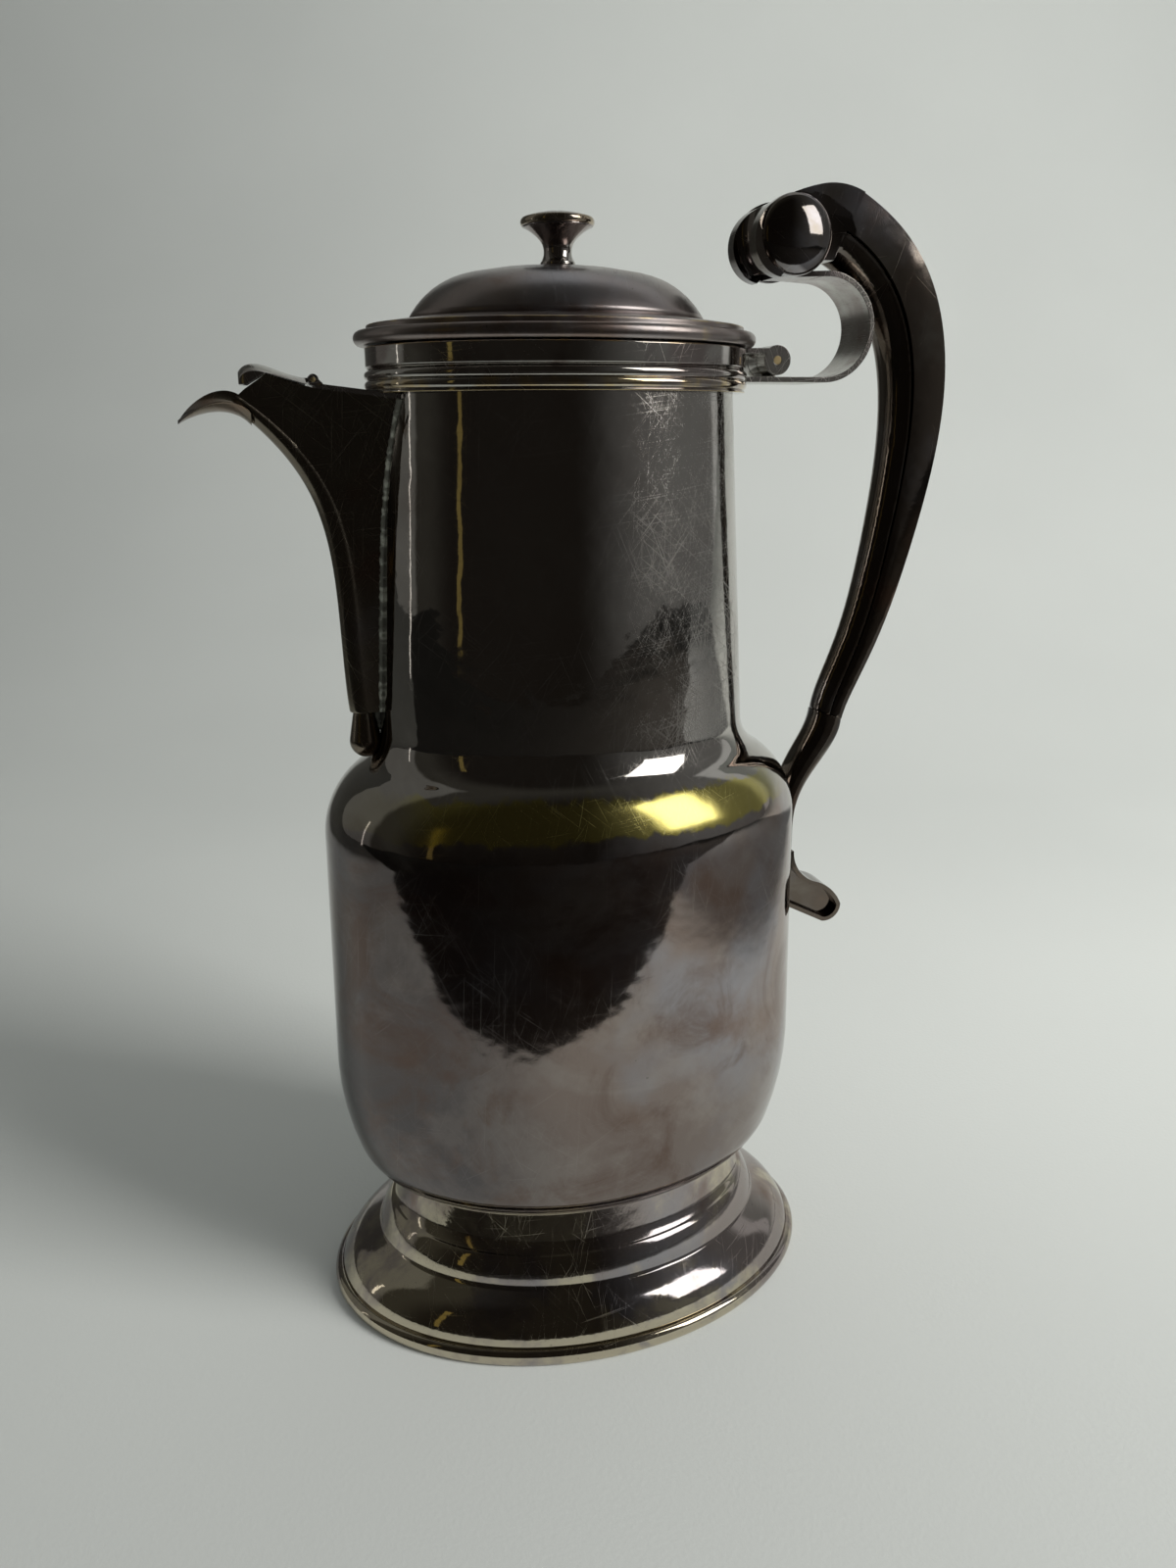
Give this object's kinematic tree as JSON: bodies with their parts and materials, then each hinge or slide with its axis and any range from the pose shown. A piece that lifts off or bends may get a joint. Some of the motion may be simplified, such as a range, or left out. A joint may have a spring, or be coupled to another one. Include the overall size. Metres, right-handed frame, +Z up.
{
  "type": "lidded jug",
  "caption": "Tall oval silver-plated jug on a stepped foot, with a keel-shaped spout under a hinged flap, a hinged domed lid with a knob, and a scroll handle.",
  "frame": {"origin": "centre of the oval foot, on the table it stands on", "axes": "+Z up along the body, +X from the body towards the handle with the spout towards -X, and Y across the narrow way of the oval"},
  "size_m": [0.1729, 0.0922, 0.2637],
  "materials": {
    "body_plate": "silver plate over brass, polished, with purple brown tarnish and brass wear",
    "foot_plate": "silver plate over brass, polished, lightly tarnished",
    "collar_plate": "silver plate over brass, polished, brassy at the edges",
    "lid_plate": "silver plate over brass, soft polish with a pink brown haze",
    "handle_plate": "silver plate over brass, dark tarnish, brassy at the edges",
    "spout_plate": "silver plate over brass, dull inside and polished outside",
    "pin_metal": "plain brass wire"
  },
  "bodies": {
    "jug": {"body": "body_plate", "foot": "foot_plate", "foot_rim": "foot_plate", "reeded_wire": "collar_plate", "mouth_band": "collar_plate", "hinge_knuckle": "collar_plate", "hinge_pin": "pin_metal", "scroll_strap": "collar_plate", "strap_block": "handle_plate", "handle_back": "handle_plate", "handle_front": "handle_plate", "handle_scroll": "handle_plate", "spout": "spout_plate", "spout_lip": "spout_plate", "spout_roof": "spout_plate", "spout_drop": "spout_plate", "flap_pin": "pin_metal"},
    "lid": {"lid_rim": "lid_plate", "lid_dome": "lid_plate", "lid_bezel": "lid_plate", "knob_stem": "lid_plate", "knob_cap": "lid_plate", "lid_leaf": "collar_plate"},
    "flap": {"spout_flap": "spout_plate"}
  },
  "joints": [
    {"name": "lid_hinge", "type": "hinge", "parent": "jug", "child": "lid", "pos_m": [0.0487, 0, 0.2274], "axis": [0, 1, 0], "range_deg": [0, 40]},
    {"name": "flap_hinge", "type": "hinge", "parent": "jug", "child": "flap", "pos_m": [-0.0532, 0, 0.2229], "axis": [0, 1, 0], "range_deg": [0, 85]}
  ]
}
